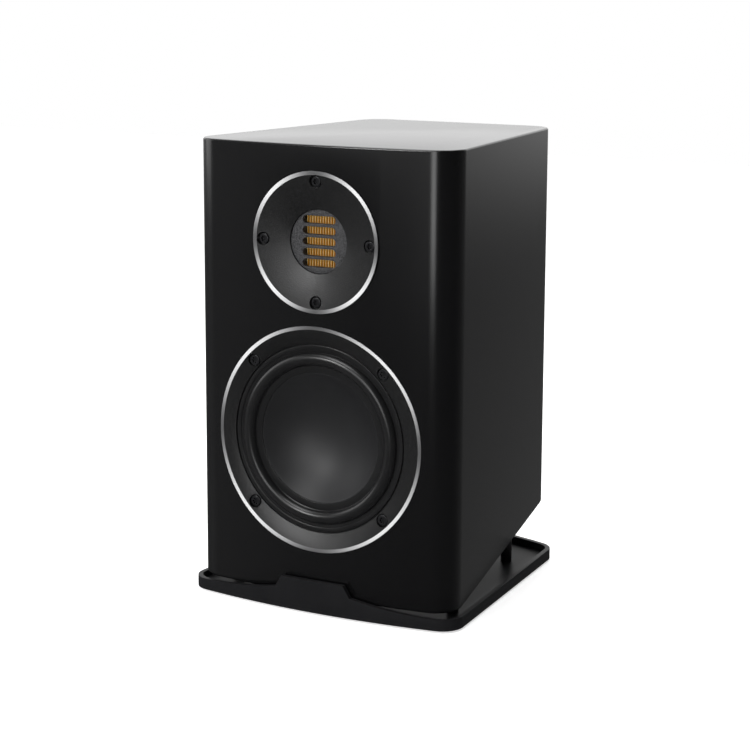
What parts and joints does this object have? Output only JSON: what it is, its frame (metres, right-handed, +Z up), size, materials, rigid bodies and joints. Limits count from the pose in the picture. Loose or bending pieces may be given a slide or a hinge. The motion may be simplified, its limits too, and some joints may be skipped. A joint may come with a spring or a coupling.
{
  "type": "bookshelf speaker",
  "caption": "Two-way bookshelf loudspeaker: tapered black cabinet with bowed baffle, dished woofer, folded-ribbon tweeter behind slots, tray base and rear binding posts.",
  "frame": {"origin": "on the floor, under the middle of the whole object's box (binding posts included)", "axes": "+Z up, the baffle faces -Y, +X to the viewer's right when facing the baffle"},
  "size_m": [0.206, 0.239, 0.318],
  "materials": {
    "black_lacquer": "satin black lacquer on fibreboard",
    "brace_board": "raw fibreboard",
    "wadding": "fleecy polyester wadding",
    "black_plastic": "moulded, fine matt",
    "tray_plastic": "satin black, fine texture",
    "black_screw_steel": "black oxide",
    "brass": "turned",
    "gold_plate": "gold plated, bright",
    "foot_rubber": "matt",
    "textured_flange": "fine textured black with a bright cut edge",
    "slotted_disc": "fine sand-textured dark grey",
    "surround_rubber": "semi-gloss",
    "cone_satin": "smooth satin dark grey coating",
    "former_film": "thin film",
    "copper_winding": "enamelled wire",
    "spider_cloth": "resin-dipped woven cloth",
    "plated_steel": "zinc plated",
    "ferrite": "matt ceramic",
    "bright_magnet": "nickel plated",
    "terminal_card": "resin board with tinned tags",
    "braided_lead": "braided copper",
    "ribbon_film": "amber film with bright fold edges",
    "grey_felt": "wool felt",
    "board_green": "resist-coated board",
    "capacitor_film": "wrapped film",
    "resistor_ceramic": "cement",
    "nylon": "natural nylon",
    "knob_red": "clear-tinted moulding",
    "knob_black": "moulded",
    "lead_insulation": "soft insulation"
  },
  "bodies": {
    "cabinet": {"front_baffle": "black_lacquer", "left_side_panel": "black_lacquer", "right_side_panel": "black_lacquer", "top_panel": "black_lacquer", "bottom_panel": "black_lacquer", "rear_panel": "black_lacquer", "window_brace": "brace_board", "damping_wadding": "wadding", "port_tube": "black_plastic", "base_tray": "tray_plastic", "base_posts": "black_plastic", "base_screws": "black_screw_steel", "base_inserts": "brass", "rubber_feet": "foot_rubber", "woofer_frame": "textured_flange", "woofer_surround": "surround_rubber", "spider": "spider_cloth", "woofer_top_plate": "plated_steel", "woofer_magnet": "ferrite", "woofer_yoke": "plated_steel", "woofer_terminal_strip": "terminal_card", "tinsel_leads": "braided_lead", "woofer_screws": "black_screw_steel", "woofer_seal": "foot_rubber", "tweeter_faceplate": "textured_flange", "tweeter_slot_plate": "slotted_disc", "ribbon_diaphragm": "ribbon_film", "ribbon_frame": "black_plastic", "tweeter_magnets": "bright_magnet", "tweeter_rear_plate": "plated_steel", "tweeter_felt": "grey_felt", "tweeter_rear_cup": "black_plastic", "tweeter_terminals": "terminal_card", "tweeter_screws": "black_screw_steel", "tweeter_seal": "foot_rubber", "crossover_board": "board_green", "crossover_coils": "copper_winding", "crossover_capacitors": "capacitor_film", "crossover_resistors": "resistor_ceramic", "crossover_standoffs": "nylon", "crossover_screws": "plated_steel", "terminal_plate": "black_plastic", "terminal_plate_seal": "foot_rubber", "terminal_plate_screws": "black_screw_steel", "red_post_stud": "gold_plate", "black_post_stud": "gold_plate", "red_post_nut": "plated_steel", "black_post_nut": "plated_steel", "terminal_leads": "lead_insulation", "woofer_leads": "lead_insulation", "tweeter_leads": "lead_insulation"},
    "woofer_moving": {"woofer_cone": "cone_satin", "voice_coil_former": "former_film", "voice_coil": "copper_winding"},
    "red_washer": {"red_clamp_washer": "gold_plate"},
    "red_knob": {"red_knob": "knob_red"},
    "black_washer": {"black_clamp_washer": "gold_plate"},
    "black_knob": {"black_knob": "knob_black"}
  },
  "joints": [
    {"name": "woofer_excursion", "type": "slide", "parent": "cabinet", "child": "woofer_moving", "axis": [0, 1, 0], "range_m": [-0.005, 0.005], "stiffness_N_per_m": 1400, "deforming": ["woofer_surround", "spider", "tinsel_leads"]},
    {"name": "red_washer_slide", "type": "slide", "parent": "cabinet", "child": "red_washer", "axis": [0, 1, 0], "range_m": [0, 0.004]},
    {"name": "red_knob_turn", "type": "hinge", "parent": "red_washer", "child": "red_knob", "pos_m": [-0.0095, 0.112, 0.11], "axis": [0, 1, 0], "range_deg": [0, 1800]},
    {"name": "black_washer_slide", "type": "slide", "parent": "cabinet", "child": "black_washer", "axis": [0, 1, 0], "range_m": [0, 0.004]},
    {"name": "black_knob_turn", "type": "hinge", "parent": "black_washer", "child": "black_knob", "pos_m": [0.0095, 0.112, 0.11], "axis": [0, 1, 0], "range_deg": [0, 1800]}
  ],
  "couplings": [
    {"joint": "red_knob_turn", "follows": "red_washer_slide", "rad_per_m": 7854},
    {"joint": "black_knob_turn", "follows": "black_washer_slide", "rad_per_m": 7854}
  ]
}
